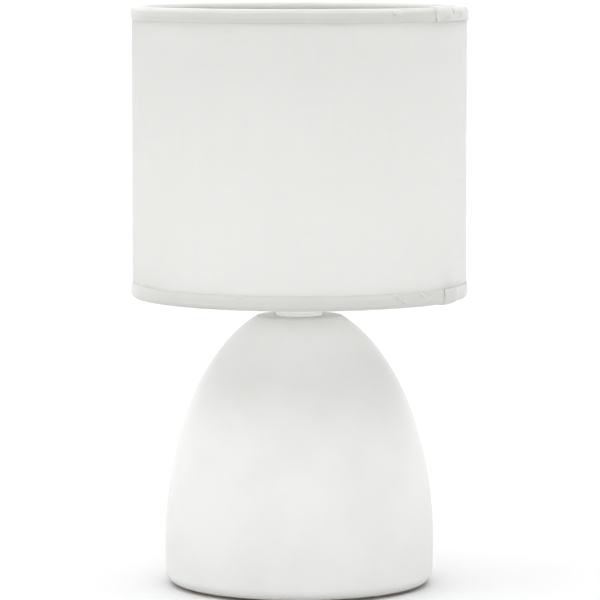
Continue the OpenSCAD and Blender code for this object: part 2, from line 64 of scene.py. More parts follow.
# Outlines are lists of (radius, height), and the corners that have a third value are rounded off by it.
def rounded(corners, steps=4):
    outline = []
    count = len(corners)
    for k, corner in enumerate(corners):
        here = Vector(corner[:2])
        size = corner[2] if len(corner) > 2 else 0
        if not size:
            outline.append((here.x, here.y))
            continue
        back = Vector(corners[k - 1][:2]) - here
        ahead = Vector(corners[(k + 1) % count][:2]) - here
        half = back.angle(ahead) / 2
        tangent = min(size / math.tan(half), 0.49 * back.length, 0.49 * ahead.length)
        radius = tangent * math.tan(half)
        centre = here + (back.normalized() + ahead.normalized()).normalized() * (radius / math.sin(half))
        first = here + back.normalized() * tangent - centre
        turn = first.angle_signed(here + ahead.normalized() * tangent - centre)
        for step in range(steps + 1):
            a = -turn * step / steps
            outline.append((centre.x + first.x * math.cos(a) - first.y * math.sin(a),
                            centre.y + first.x * math.sin(a) + first.y * math.cos(a)))
    return outline


def arc(x, z, width, height, start, end, steps):
    # part of a circle or an ellipse, between two angles in degrees
    angles = [math.radians(start + (end - start) * k / steps) for k in range(steps + 1)]
    return [(x + width * math.cos(a), z + height * math.sin(a)) for a in angles]


def turned(outline, sides=160, shape=None, loop=True):
    # rows of points for an outline turned round the Z axis; shape(radius, height, angle) may change the radius
    rows = []
    for radius, height in outline:
        row = []
        for side in range(sides):
            a = 2 * math.pi * side / sides
            r = shape(radius, height, a) if shape else radius
            row.append(Vector((r * math.cos(a), r * math.sin(a), height)))
        rows.append(row)
    return {"rows": rows, "around": True, "loop": loop}


def tube(path, radius, sides=16):
    # rows of points round a path, with closed ends; radius is one number or one for each point
    rows = []
    normal = None
    for k, point in enumerate(path):
        tangent = (path[min(k + 1, len(path) - 1)] - path[max(k - 1, 0)]).normalized()
        normal = tangent.orthogonal() if normal is None else normal - tangent * normal.dot(tangent)
        normal.normalize()
        side = tangent.cross(normal)
        r = radius[k] if isinstance(radius, list) else radius
        ring = [2 * math.pi * i / sides for i in range(sides)]
        rows.append([point + (normal * math.cos(a) + side * math.sin(a)) * r for a in ring])
    return {"rows": rows, "around": True, "loop": False, "caps": True}


def skin(name, grids, place=None, sharpAngle=38):
    # one mesh from grids of points, with a UV map in metres along each grid
    points, faces, uvs = [], [], []
    for grid in grids:
        rows, around, loop = grid["rows"], grid["around"], grid["loop"]
        first, wide, tall = len(points), len(rows[0]), len(rows)
        for row in rows:
            points.extend(row)
        across, along = [0.0], [0.0]
        widest = max(rows, key=lambda row: (row[0] - row[1]).length)
        for i in range(wide):
            across.append(across[-1] + (widest[(i + 1) % wide] - widest[i]).length)
        for k in range(tall):
            along.append(along[-1] + (rows[(k + 1) % tall][0] - rows[k][0]).length)
        for k in range(tall if loop else tall - 1):
            for i in range(wide if around else wide - 1):
                k2, i2 = (k + 1) % tall, (i + 1) % wide
                faces.append([first + q * wide + p for q, p in ((k, i), (k, i2), (k2, i2), (k2, i))])
                uvs.extend([(across[i], along[k]), (across[i + 1], along[k]),
                            (across[i + 1], along[k + 1]), (across[i], along[k + 1])])
        if grid.get("caps"):
            if around:
                ends = [[first + i for i in range(wide)], [first + (tall - 1) * wide + i for i in range(wide)]]
            else:
                ends = [[first + k * wide + i for k in range(tall)] for i in (0, wide - 1)]
            for end in ends:
                faces.append(end)
                uvs.extend([(0.0, 0.0)] * len(end))
    mesh = bpy.data.meshes.new(name)
    mesh.from_pydata(points, [], faces)
    layer = mesh.uv_layers.new(name="metres")
    layer.data.foreach_set("uv", [value for uv in uvs for value in uv])
    if place:
        mesh.transform(place)
    work = bmesh.new()
    work.from_mesh(mesh)
    bmesh.ops.remove_doubles(work, verts=work.verts, dist=1e-7)
    bmesh.ops.dissolve_degenerate(work, edges=work.edges, dist=1e-8)
    bmesh.ops.recalc_face_normals(work, faces=work.faces)
    work.to_mesh(mesh)
    work.free()
    for polygon in mesh.polygons:
        polygon.use_smooth = True
    mesh.set_sharp_from_angle(angle=math.radians(sharpAngle))
    piece = bpy.data.objects.new(name, mesh)
    bpy.context.scene.collection.objects.link(piece)
    return piece


def drill(piece, radius, start, end):
    # a round hole right through a piece
    cutter = skin("drillBit", [tube([start, end], radius, sides=48)])
    cut = piece.modifiers.new("hole", "BOOLEAN")
    cut.object, cut.operation, cut.solver = cutter, "DIFFERENCE", "EXACT"
    bpy.context.view_layer.update()
    result = bpy.data.meshes.new_from_object(piece.evaluated_get(bpy.context.evaluated_depsgraph_get()))
    piece.modifiers.clear()
    old, piece.data = piece.data, result
    bpy.data.meshes.remove(old)
    bpy.data.objects.remove(cutter)
    piece.data.set_sharp_from_angle(angle=math.radians(38))
    return piece


def coat(mesh, material):
    mesh.materials.clear()
    mesh.materials.append(material)


def fit(piece, body, slot, material, *nodes):
    # the piece rides on its body, takes its finish and stands for its CAD parts
    coat(piece.data, material)
    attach(piece, body)
    if nodes:
        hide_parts(*nodes)
    return piece


def linearColor(code):
    values = [int(code[k:k + 2], 16) / 255 for k in (1, 3, 5)]
    return [v / 12.92 if v <= 0.04045 else ((v + 0.055) / 1.055) ** 2.4 for v in values] + [1.0]


def addNode(tree, kind, links=None, **settings):
    # adds a node; links gives each input a value or the socket that feeds it
    node = tree.nodes.new(kind)
    for key, value in settings.items():
        setattr(node, key, value)
    for key, value in (links or {}).items():
        if isinstance(value, bpy.types.NodeSocket):
            tree.links.new(value, node.inputs[key])
        else:
            node.inputs[key].default_value = value
    return node


def newMaterial(name, color=None, **shaderValues):
    material = bpy.data.materials.new(name)
    material.use_nodes = True
    shader = material.node_tree.nodes["Principled BSDF"]
    for key, value in shaderValues.items():
        shader.inputs[key.replace("_", " ")].default_value = value
    if color:
        shader.inputs["Base Color"].default_value = linearColor(color)
    return material, material.node_tree


def feedShader(tree, color=None, roughness=None, normal=None):
    for key, socket in (("Base Color", color), ("Roughness", roughness), ("Normal", normal)):
        if socket is not None:
            tree.links.new(socket, tree.nodes["Principled BSDF"].inputs[key])


def letThrough(tree, share, glowLinks):
    # this share of the light soaks through to the other side
    glow = addNode(tree, "ShaderNodeBsdfTranslucent", glowLinks)
    mixed = addNode(tree, "ShaderNodeMixShader", {0: share, 1: tree.nodes["Principled BSDF"].outputs["BSDF"],
                                                  2: glow.outputs["BSDF"]})
    tree.links.new(mixed.outputs["Shader"], tree.nodes["Material Output"].inputs["Surface"])


# Matte white glaze on slip-cast earthenware: a dead, even white with a soft skin. It is faintly mottled where the
# glaze lies thicker, and its fine orange peel breaks up the light.
def matteGlaze():
    glaze = {"white": "#cbccca", "thin": "#c7c8c5", "roughness": 0.56, "peel": 1.1, "mottle": 26.0, "speck": 0.35}
    material, tree = newMaterial("matte white glaze", IOR=1.52)
    place = addNode(tree, "ShaderNodeTexCoord").outputs["Object"]
    mottle = addNode(tree, "ShaderNodeTexNoise", {"Vector": place, "Scale": 1000 / glaze["mottle"], "Detail": 3.0})
    colors = addNode(tree, "ShaderNodeValToRGB", {"Fac": mottle.outputs["Fac"]})
    colors.color_ramp.elements[0].position, colors.color_ramp.elements[1].position = 0.3, 0.62
    colors.color_ramp.elements[0].color = linearColor(glaze["thin"])
    colors.color_ramp.elements[1].color = linearColor(glaze["white"])
    peel = addNode(tree, "ShaderNodeTexNoise", {"Vector": place, "Scale": 1000 / glaze["peel"], "Detail": 2.0})
    speck = addNode(tree, "ShaderNodeTexNoise", {"Vector": place, "Scale": 1000 / glaze["speck"], "Detail": 1.0})
    rough = addNode(tree, "ShaderNodeMapRange", {"Value": speck.outputs["Fac"], "From Min": 0.3, "From Max": 0.7,
                                                 "To Min": glaze["roughness"] - 0.05,
                                                 "To Max": glaze["roughness"] + 0.06})
    soft = addNode(tree, "ShaderNodeBump", {"Height": peel.outputs["Fac"], "Strength": 0.35, "Distance": 0.05 * mm})
    fine = addNode(tree, "ShaderNodeBump", {"Height": speck.outputs["Fac"], "Strength": 0.25, "Distance": 0.02 * mm,
                                            "Normal": soft.outputs["Normal"]})
    feedShader(tree, colors.outputs["Color"], rough.outputs["Result"], fine.outputs["Normal"])
    return material


# Bare bisque where the glaze was wiped off the foot and inside: chalky, warmer, with open pores.
def bareBisque():
    bisque = {"clay": "#e2dccf", "shadow": "#cfc7b7", "pore": 0.5, "cloud": 9.0}
    material, tree = newMaterial("bare bisque", Roughness=0.92, IOR=1.5)
    place = addNode(tree, "ShaderNodeTexCoord").outputs["Object"]
    cloud = addNode(tree, "ShaderNodeTexNoise", {"Vector": place, "Scale": 1000 / bisque["cloud"], "Detail": 6.0})
    color = addNode(tree, "ShaderNodeMix", {"Factor": cloud.outputs["Fac"], "A": linearColor(bisque["clay"]),
                                            "B": linearColor(bisque["shadow"])}, data_type="RGBA")
    pore = addNode(tree, "ShaderNodeTexVoronoi", {"Vector": place, "Scale": 1000 / bisque["pore"]})
    bump = addNode(tree, "ShaderNodeBump", {"Height": pore.outputs["Distance"], "Strength": 0.5,
                                            "Distance": 0.08 * mm})
    feedShader(tree, color=color.outputs["Result"], normal=bump.outputs["Normal"])
    return material


# Plain-woven cotton and linen: yarns cross over and under, some of them thicker, and light soaks through.
# The yarns are drawn a little coarser than real ones, so that they still show. A grey wash near the drum's top is
# painted shade.
# the grey, its share and its depth for the painted shade at the drum's top
paintedTopShade = {"color": "#a8a8a2", "share": 0.05, "depth": 32 * mm}


def wovenCloth(name, yarn, light, shade, through, sheen, shadeTopAt=None):
    material, tree = newMaterial(name, Roughness=0.9, Sheen_Weight=sheen, Sheen_Roughness=0.45)
    uv = addNode(tree, "ShaderNodeUVMap", uv_map="metres").outputs["UV"]
    split = addNode(tree, "ShaderNodeSeparateXYZ", {"Vector": uv})
    waves, heights = [], []
    for axis in ("X", "Y"):
        turns = addNode(tree, "ShaderNodeMath", {0: split.outputs[axis], 1: math.pi / (yarn * mm)},
                        operation="MULTIPLY")
        waves.append(addNode(tree, "ShaderNodeMath", {0: turns.outputs[0]}, operation="SINE"))
        heights.append(addNode(tree, "ShaderNodeMath", {0: waves[-1].outputs[0]}, operation="ABSOLUTE"))
    both = addNode(tree, "ShaderNodeMath", {0: waves[0].outputs[0], 1: waves[1].outputs[0]}, operation="MULTIPLY")
    over = addNode(tree, "ShaderNodeMath", {0: both.outputs[0], 1: 0.0}, operation="GREATER_THAN")
    weave = addNode(tree, "ShaderNodeMix", {"Factor": over.outputs[0], "A": heights[0].outputs[0],
                                            "B": heights[1].outputs[0]}, data_type="FLOAT")
    slubs = []
    for stretch in ((1.0, 0.02, 1.0), (0.02, 1.0, 1.0)):
        run = addNode(tree, "ShaderNodeMapping", {"Vector": uv, "Scale": [s / (yarn * 1.6 * mm) for s in stretch]})
        slubs.append(addNode(tree, "ShaderNodeTexNoise", {"Vector": run.outputs["Vector"], "Scale": 1.0,
                                                          "Detail": 2.0}))
    slub = addNode(tree, "ShaderNodeMix", {"Factor": over.outputs[0], "A": slubs[0].outputs["Fac"],
                                           "B": slubs[1].outputs["Fac"]}, data_type="FLOAT")
    height = addNode(tree, "ShaderNodeMath", {0: weave.outputs["Result"], 1: slub.outputs["Result"]},
                     operation="MULTIPLY")
    color = addNode(tree, "ShaderNodeMapRange", {"Value": height.outputs[0], "From Min": 0.05, "From Max": 0.5})
    tint = addNode(tree, "ShaderNodeMix", {"Factor": color.outputs["Result"], "A": linearColor(shade),
                                           "B": linearColor(light)}, data_type="RGBA")
    cloth = tint.outputs["Result"]
    # painted shade: the cloth is mixed a little towards grey over the top of the drum
    if shadeTopAt:
        fade = addNode(tree, "ShaderNodeMapRange", {"Value": split.outputs["Y"], "From Min": shadeTopAt - paintedTopShade["depth"],
                                                    "From Max": shadeTopAt, "To Max": paintedTopShade["share"]},
                       interpolation_type="SMOOTHSTEP")
        dull = addNode(tree, "ShaderNodeMix", {"Factor": fade.outputs["Result"], "A": cloth,
                                               "B": linearColor(paintedTopShade["color"])}, data_type="RGBA")
        cloth = dull.outputs["Result"]
    bump = addNode(tree, "ShaderNodeBump", {"Height": height.outputs[0], "Strength": 0.3,
                                            "Distance": 0.12 * yarn * mm})
    feedShader(tree, color=cloth, normal=bump.outputs["Normal"])
    letThrough(tree, through, {"Color": cloth, "Normal": bump.outputs["Normal"]})
    return material


# Rolled styrene sheet that stiffens the shade: satin, milky and smooth, with faint draw lines from its calender.
def milkyStyrene():
    styrene = {"white": "#fdfdfd", "roughness": 0.42, "drawLine": 1.4, "through": 0.85}
    material, tree = newMaterial("milky styrene sheet", styrene["white"], IOR=1.57)
    uv = addNode(tree, "ShaderNodeUVMap", uv_map="metres").outputs["UV"]
    run = addNode(tree, "ShaderNodeMapping", {"Vector": uv, "Scale": (12.0, 1000 / styrene["drawLine"], 1.0)})
    lines = addNode(tree, "ShaderNodeTexNoise", {"Vector": run.outputs["Vector"], "Scale": 1.0, "Detail": 3.0})
    rough = addNode(tree, "ShaderNodeMapRange", {"Value": lines.outputs["Fac"], "To Min": styrene["roughness"] - 0.08,
                                                 "To Max": styrene["roughness"] + 0.1})
    bump = addNode(tree, "ShaderNodeBump", {"Height": lines.outputs["Fac"], "Strength": 0.12, "Distance": 0.05 * mm})
    feedShader(tree, roughness=rough.outputs["Result"], normal=bump.outputs["Normal"])
    letThrough(tree, styrene["through"], {"Color": linearColor(styrene["white"])})
    return material


# Plastics, coatings and other plain solids: one even colour with a fine skin of its own.
# Grain is the size of that skin's bumps in millimetres, and depth is how far they stand out.
plainFinishes = {
    # satin from the mould, with a faint spark-eroded skin
    "moulded white PBT": {"color": "#d8d8d5", "dark": "#d0d0cc", "roughness": 0.38, "ior": 1.55,
                          "grain": 0.6, "depth": 0.012},
    # soft gloss over a pebbly baked coat
    "white powder-coated steel": {"color": "#f0f0ef", "dark": "#e9e9e7", "roughness": 0.44, "ior": 1.5,
                                  "grain": 0.9, "depth": 0.05},
    # dull and slightly dusty
    "black nitrile rubber": {"color": "#232323", "dark": "#1a1a1a", "roughness": 0.78, "ior": 1.52,
                             "grain": 0.3, "depth": 0.02},
    # waxy and a little grey
    "pale silicone rubber": {"color": "#f6f6f5", "dark": "#f0f0ee", "roughness": 0.6, "ior": 1.43,
                             "grain": 0.5, "depth": 0.01},
    # cream and finely granular
    "steatite ceramic": {"color": "#e7e1d3", "dark": "#dad3c2", "roughness": 0.62, "ior": 1.55,
                         "grain": 0.25, "depth": 0.02},
    # poured glass, glossy black
    "black poured glass": {"color": "#141418", "dark": "#0e0e11", "roughness": 0.12, "ior": 1.6,
                            "grain": 1.5, "depth": 0.01},
    # yellow phosphor in silicone, softly uneven
    "phosphor sleeve": {"color": "#e8b93a", "dark": "#d9a52a", "roughness": 0.55, "ior": 1.41,
                        "grain": 0.4, "depth": 0.03},
    # matted fibres that catch the light unevenly
    "pressed wool felt": {"color": "#dedbd3", "dark": "#c9c5ba", "roughness": 0.96, "ior": 1.5,
                          "grain": 0.35, "depth": 0.16},
}


def plainMaterial(name):
    finish = plainFinishes[name]
    material, tree = newMaterial(name, IOR=finish["ior"])
    place = addNode(tree, "ShaderNodeTexCoord").outputs["Object"]
    grain = addNode(tree, "ShaderNodeTexNoise", {"Vector": place, "Scale": 1000 / finish["grain"], "Detail": 3.0})
    cloud = addNode(tree, "ShaderNodeTexNoise", {"Vector": place, "Scale": 120 / finish["grain"], "Detail": 2.0})
    tint = addNode(tree, "ShaderNodeMix", {"Factor": cloud.outputs["Fac"], "A": linearColor(finish["dark"]),
                                           "B": linearColor(finish["color"])}, data_type="RGBA")
    rough = addNode(tree, "ShaderNodeMapRange", {"Value": grain.outputs["Fac"], "To Min": finish["roughness"] * 0.85,
                                                 "To Max": min(1.0, finish["roughness"] * 1.15)})
    bump = addNode(tree, "ShaderNodeBump", {"Height": grain.outputs["Fac"], "Strength": 0.5,
                                            "Distance": finish["depth"] * mm})
    feedShader(tree, tint.outputs["Result"], rough.outputs["Result"], bump.outputs["Normal"])
    return material


# Plated and bare metals: the colour is the metal's own, and turning or rolling lines, that many millimetres apart,
# run round each part.
metalFinishes = {
    "zinc-plated steel": {"color": "#c3c7cb", "roughness": 0.34, "line": 0.25},  # cool, slightly cloudy plating
    "stamped brass": {"color": "#d8b565", "roughness": 0.3, "line": 0.3},  # yellow, with soft press marks
    "nickel-plated brass": {"color": "#d2d1cd", "roughness": 0.22, "line": 0.2},  # bright, a little warm
    "tin solder": {"color": "#b7b9bb", "roughness": 0.45, "line": 0.8},  # dull, with a frosty skin
}


def metalMaterial(name):
    finish = metalFinishes[name]
    material, tree = newMaterial(name, finish["color"], Metallic=1.0)
    place = addNode(tree, "ShaderNodeTexCoord").outputs["Object"]
    run = addNode(tree, "ShaderNodeMapping", {"Vector": place, "Scale": (60.0, 60.0, 1000 / finish["line"])})
    lines = addNode(tree, "ShaderNodeTexNoise", {"Vector": run.outputs["Vector"], "Scale": 1.0, "Detail": 3.0})
    rough = addNode(tree, "ShaderNodeMapRange", {"Value": lines.outputs["Fac"], "To Min": finish["roughness"] - 0.1,
                                                 "To Max": finish["roughness"] + 0.14})
    bump = addNode(tree, "ShaderNodeBump", {"Height": lines.outputs["Fac"], "Strength": 0.25,
                                            "Distance": 0.02 * mm})
    feedShader(tree, roughness=rough.outputs["Result"], normal=bump.outputs["Normal"])
    return material


# Soda-lime glass, blown thin: clear, with the slightest waviness.
def blownGlass():
    clear = {"color": "#f6f9f8", "wave": 9.0}
    material, tree = newMaterial("blown soda-lime glass", clear["color"], Roughness=0.0, IOR=1.52,
                                 Transmission_Weight=1.0)
    place = addNode(tree, "ShaderNodeTexCoord").outputs["Object"]
    wave = addNode(tree, "ShaderNodeTexNoise", {"Vector": place, "Scale": 1000 / clear["wave"], "Detail": 1.0})
    bump = addNode(tree, "ShaderNodeBump", {"Height": wave.outputs["Fac"], "Strength": 0.1, "Distance": 0.1 * mm})
    feedShader(tree, normal=bump.outputs["Normal"])
    return material


glaze, bisque, glass, styrene = matteGlaze(), bareBisque(), blownGlass(), milkyStyrene()
shadeCloth = wovenCloth("woven cotton-linen", yarn=0.55, light="#f6f6f5", shade="#f1f1f0", through=0.85, sheen=0.5,
                        shadeTopAt=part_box("shade_fabric")[1].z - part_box("shade_fabric")[0].z)
# The tape's cloth is drawn darker than the drum's: painted shade for the light that the folded layers and the wire
# ring hold back.
tapeCloth = wovenCloth("folded cotton tape", yarn=0.4, light="#c5c5c2", shade="#bbbbb7", through=0.12, sheen=0.5)
plain = {name: plainMaterial(name) for name in plainFinishes}
metal = {name: metalMaterial(name) for name in metalFinishes}
pbt, coated, felt = plain["moulded white PBT"], plain["white powder-coated steel"], plain["pressed wool felt"]
zinc, brass, nickel = metal["zinc-plated steel"], metal["stamped brass"], metal["nickel-plated brass"]
print("materials made:", len(bpy.data.materials))


# The base is cast in one shell. Its side is a quarter ellipse from the waist up to the rim of the flat top.
base = {"rim": 17.6 * mm, "shoulder": 5 * mm, "waist": 17 * mm, "taper": 0.4 * mm, "foot": 4.5 * mm, "wall": 5 * mm,
        "crown": 6 * mm, "floor": 5 * mm, "floorCorner": 4 * mm, "opening": 35 * mm, "openingEdge": 1 * mm,
        "nippleHole": 5.4 * mm, "nippleEdge": 0.6 * mm, "inletHole": 4.5 * mm, "unevenness": 0.16 * mm,
        "wander": 38 * mm}


def unevenSide(radius, height, angle):
    # hand-finished casting: the side wanders by a fraction of a millimetre
    if radius < base["opening"] * 0.4 or height > baseTop - 2 * mm:
        return radius
    spot = Vector((math.cos(angle) * radius, math.sin(angle) * radius, height * 1.4)) / base["wander"]
    return radius + base["unevenness"] * (noise.noise(spot) - 0.35)


baseRadius, baseBottom, baseTop = reach("base_shell")
sideAngle = math.degrees(math.acos(base["rim"] / baseRadius))
sideHeight = (baseTop - base["waist"]) / math.sin(math.radians(sideAngle))
cavityRadius, cavityHeight = baseRadius - base["wall"], sideHeight - base["wall"]
cavityTop, floorTop = baseTop - base["crown"], baseBottom + base["floor"]
cavityAngle = math.degrees(math.asin((cavityTop - base["waist"]) / cavityHeight))
footCentre = baseRadius - base["taper"] - base["foot"]
footRing = base["opening"] + 10 * mm
side = arc(0, base["waist"], baseRadius, sideHeight, 0, sideAngle, 70)[:-1]
rimCorner = rounded([side[-1], (base["rim"], baseTop, base["shoulder"]), (base["nippleHole"], baseTop)],
                    steps=6)[1:-1]
outline = (
    arc(footCentre, baseBottom + base["foot"], base["foot"], base["foot"], -90, 0, 10)
    + side + rimCorner
    + rounded([(12 * mm, baseTop), (base["nippleHole"], baseTop, base["nippleEdge"]),
               (base["nippleHole"], cavityTop)])[1:]
    + arc(0, base["waist"], cavityRadius, cavityHeight, cavityAngle, 0, 40)
    + arc(cavityRadius - base["floorCorner"], floorTop + base["floorCorner"], base["floorCorner"],
          base["floorCorner"], 0, -90, 6)
    + rounded([(footRing, floorTop), (base["opening"], floorTop, base["openingEdge"]),
               (base["opening"], baseBottom, base["openingEdge"]), (footRing, baseBottom)])[1:]
)
ceramicBase = skin("ceramicBase", [turned(outline, 224, unevenSide)])
inletLow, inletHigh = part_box("cable_grommet")
inletHeight = (inletLow.z + inletHigh.z) / 2
drill(ceramicBase, base["inletHole"], Vector((0, 0.04, inletHeight)), Vector((0, 0.07, inletHeight)))
fit(ceramicBase, "base", "ceramic_base", glaze, "base_shell")
ceramicBase.data.materials.append(bisque)
# Bisque shows under the foot and inside: on faces that look down, or that lie well inside the outer ellipse.
for polygon in ceramicBase.data.polygons:
    outward = Vector(polygon.center).to_2d().length
    facing = Vector(polygon.center).to_2d().dot(Vector(polygon.normal).to_2d()) / max(outward, mm)
    level = polygon.center.z
    height = min(1.0, max(0.0, (level - base["waist"]) / sideHeight))
    inside = outward < baseRadius * math.sqrt(1 - height ** 2) - 1.5 * mm and level < baseTop - 0.7 * mm
    polygon.material_index = 1 if polygon.normal.z < -0.85 or (inside and facing < 0.3) else 0
print("ceramic base:", len(ceramicBase.data.polygons), "faces")

# Four felt discs under the foot ring, each with soft pressed edges.
feltFeet = {"count": 4, "radius": 5 * mm, "edge": 0.35 * mm, "ring": 43 * mm, "ragged": 0.012}
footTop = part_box("foot_pads")[1].z
disc = rounded([(0, 0), (feltFeet["radius"], 0, feltFeet["edge"]), (feltFeet["radius"], footTop, feltFeet["edge"]),
                (0, footTop)])
feet = []
for foot in range(feltFeet["count"]):
    turn = 2 * math.pi * (foot + 0.5) / feltFeet["count"]
    offset = Vector((math.cos(turn), math.sin(turn), 0)) * feltFeet["ring"]
    grid = turned(disc, 40, lambda r, z, a, n=foot: r * (
        1 + feltFeet["ragged"] * noise.noise((3 * a, n, 0.5))), loop=False)
    grid["rows"] = [[point + offset for point in row] for row in grid["rows"]]
    feet.append(grid)
fit(skin("feltFeet", feet), "base", "felt", felt, "foot_pads")

# The grommet lines the cable hole: two flanges grip the wall. It is turned about +Y.
grommet = {"bore": 3 * mm, "body": 4.35 * mm, "flange": 6.2 * mm, "lip": 1.4 * mm, "round": 0.55 * mm}
inner, outer = inletLow.y, inletHigh.y
outline = rounded([
    (grommet["bore"], inner, 0.4 * mm), (grommet["flange"], inner, grommet["round"]),
    (grommet["flange"], inner + grommet["lip"], 0.2 * mm), (grommet["body"], inner + grommet["lip"]),
    (grommet["body"], outer - grommet["lip"]), (grommet["flange"], outer - grommet["lip"], 0.2 * mm),
    (grommet["flange"], outer, grommet["round"]), (grommet["bore"], outer, 0.5 * mm)])
alongRear = Matrix.Translation((0, 0, inletHeight)) @ Matrix.Rotation(math.radians(-90), 4, "X")
fit(skin("cableGrommet", [turned(outline, 96)], alongRear), "base", "white_plastic", pbt, "cable_grommet")

# Fixings under the crown, seen from below: the nipple, its nut and the washers.
fixings = {"threadPitch": 1 * mm, "threadDepth": 0.3 * mm, "bore": 3.75 * mm, "nutPlay": 0.05 * mm,
           "nutFace": 1.6 * mm, "nutEdge": 0.4 * mm, "nutChamfer": 0.2 * mm, "chamferSlope": 1.7, "nutSteps": 14}


def helix(radius, height, angle, pitch, depth, low, high):
    # a rounded right-hand thread between two heights that never stands past the radius
    fade = smoothStep(low, low + pitch, height) * (1 - smoothStep(high - pitch, high, height))
    wave = 0.5 + 0.5 * math.cos(angle - 2 * math.pi * height / pitch)
    return radius - depth * fade * (1 - wave)


def threadRows(radius, low, high, pitch):
    # closely spaced heights, so that the thread's wave shows
    count = round((high - low) / pitch * 9)
    return [(radius, low + (high - low) * k / count) for k in range(count + 1)]


nippleRadius, nippleLow, nippleHigh = reach("threaded_nipple")
outline = (threadRows(nippleRadius, nippleLow, nippleHigh, fixings["threadPitch"])
           + [(fixings["bore"], nippleHigh), (fixings["bore"], nippleLow)])
nipple = turned(outline, 64, lambda r, z, a: r if r < 4.5 * mm else helix(
    r, z, a, fixings["threadPitch"], fixings["threadDepth"], nippleLow, nippleHigh))
fit(skin("threadedNipple", [nipple]), "base", "zinc_steel", zinc, "threaded_nipple")

nutCorner, nutLow, nutHigh = reach("nipple_nut")
nutFlat = nutCorner * math.cos(math.radians(30))


def hexagon(radius, height, angle):
    # the hexagon's side, cut back by the chamfer near both faces
    if radius < nippleRadius + 0.5 * mm:
        return radius
    across = nutFlat / math.cos((angle + math.pi / 6) % (math.pi / 3) - math.pi / 6)
    fromFace = min(height - nutLow, nutHigh - height)
    return min(across, nutFlat - fixings["nutChamfer"] + fromFace * fixings["chamferSlope"])


heights = [nutLow + (nutHigh - nutLow) * k / fixings["nutSteps"] for k in range(fixings["nutSteps"] + 1)]
boreRadius, faceRadius = nippleRadius + fixings["nutPlay"], nutFlat - fixings["nutFace"]
outline = ([(faceRadius, nutLow)] + [(nutFlat, z) for z in heights] + [(faceRadius, nutHigh)]
           + rounded([(faceRadius, nutHigh), (boreRadius, nutHigh, fixings["nutEdge"]),
                      (boreRadius, nutLow, fixings["nutEdge"]), (faceRadius, nutLow)])[1:-1])
nut = turned(outline, 144, lambda r, z, a: r if r < nutFlat - 0.5 * mm else hexagon(r, z, a))
fit(skin("nippleNut", [nut], sharpAngle=20), "base", "brass", brass, "nipple_nut")

washers = {
    "rubber_washer": ("rubberWasher", 5.2 * mm, 0.3 * mm, "black_rubber", plain["black nitrile rubber"]),
    "clamp_washer": ("clampWasher", 5.3 * mm, 0.25 * mm, "zinc_steel", zinc),
    "neck_gasket": ("neckGasket", 5.2 * mm, 0.3 * mm, "pale_rubber", plain["pale silicone rubber"]),
}
for node, (name, bore, edge, slot, material) in washers.items():
    radius, low, high = reach(node)
    outline = rounded([(bore, low, edge), (radius, low, edge), (radius, high, edge), (bore, high, edge)], 3)
    fit(skin(name, [turned(outline, 96)]), "base", slot, material, node)

# The neck: a plain collar with a soft upper edge.
neck = {"bore": 5.3 * mm, "footEdge": 0.3 * mm, "edge": 0.8 * mm}
neckRadius, neckLow, neckHigh = reach("neck_collar")
outline = rounded([
    (neck["bore"], neckLow), (neckRadius - neck["footEdge"], neckLow, 0.2 * mm),
    (neckRadius, neckLow + neck["footEdge"], 0.2 * mm), (neckRadius, neckHigh, neck["edge"]),
    (neck["bore"], neckHigh)])
fit(skin("neckCollar", [turned(outline, 144)]), "base", "white_coated_metal", coated, "neck_collar")
print("foot, grommet, fixings and neck made")

# The lampholder: a domed cap and a skirt with a coarse outer thread, both moulded.
holder = {"wall": 1.7 * mm, "boss": 9 * mm, "bossHeight": 4 * mm, "flare": 8 * mm, "bore": 5.05 * mm,
          "flange": 2 * mm, "lip": 10.4 * mm, "lipHeight": 1.2 * mm, "pitch": 2.0 * mm, "threadDepth": 0.6 * mm,
          "grubHole": 1.55 * mm}
capRadius, capLow, capHigh = reach("holder_cap")
flareLow = capLow + holder["bossHeight"]
innerRadius = capRadius - holder["wall"]
outline = (
    rounded([(holder["bore"], capLow), (holder["boss"], capLow, 0.6 * mm), (holder["boss"], flareLow)])[:-1]
    + arc(holder["boss"], flareLow + holder["flare"], capRadius - holder["boss"], holder["flare"], -88, 0, 16)
    + rounded([(capRadius, capHigh - 3 * mm), (capRadius, capHigh, 0.3 * mm), (innerRadius, capHigh)])[1:]
    + arc(holder["boss"], flareLow + holder["flare"], innerRadius - holder["boss"], holder["flare"] - holder["wall"],
          0, -90, 12)
    + [(holder["bore"], flareLow + holder["wall"])])
holderCap = skin("holderCap", [turned(outline, 128)])
grubLow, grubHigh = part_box("holder_grub_screw")
grubHeight = (grubLow.z + grubHigh.z) / 2
drill(holderCap, holder["grubHole"], Vector((0, 0.004, grubHeight)), Vector((0, 0.012, grubHeight)))
fit(holderCap, "base", "white_plastic", pbt, "holder_cap")

flangeRadius, skirtLow, skirtHigh = reach("holder_skirt")
seatHeight = skirtLow + holder["flange"]
threadLow, threadHigh = seatHeight + 0.8 * mm, skirtHigh - 0.9 * mm
outline = (
    rounded([(innerRadius, skirtLow), (flangeRadius, skirtLow, 0.6 * mm), (flangeRadius, seatHeight, 0.6 * mm),
             (capRadius, seatHeight)])
    + threadRows(capRadius, threadLow, threadHigh, holder["pitch"])
    + rounded([(capRadius, threadHigh), (capRadius, skirtHigh, 0.5 * mm), (holder["lip"], skirtHigh, 0.5 * mm),
               (holder["lip"], skirtHigh - holder["lipHeight"]), (innerRadius, skirtHigh - holder["lipHeight"])])[1:])
skirt = turned(outline, 128, lambda r, z, a: r if abs(r - capRadius) > 0.01 * mm else helix(
    r, z, a, holder["pitch"], holder["threadDepth"], threadLow, threadHigh))
fit(skin("holderSkirt", [skirt]), "base", "white_plastic", pbt, "holder_skirt")

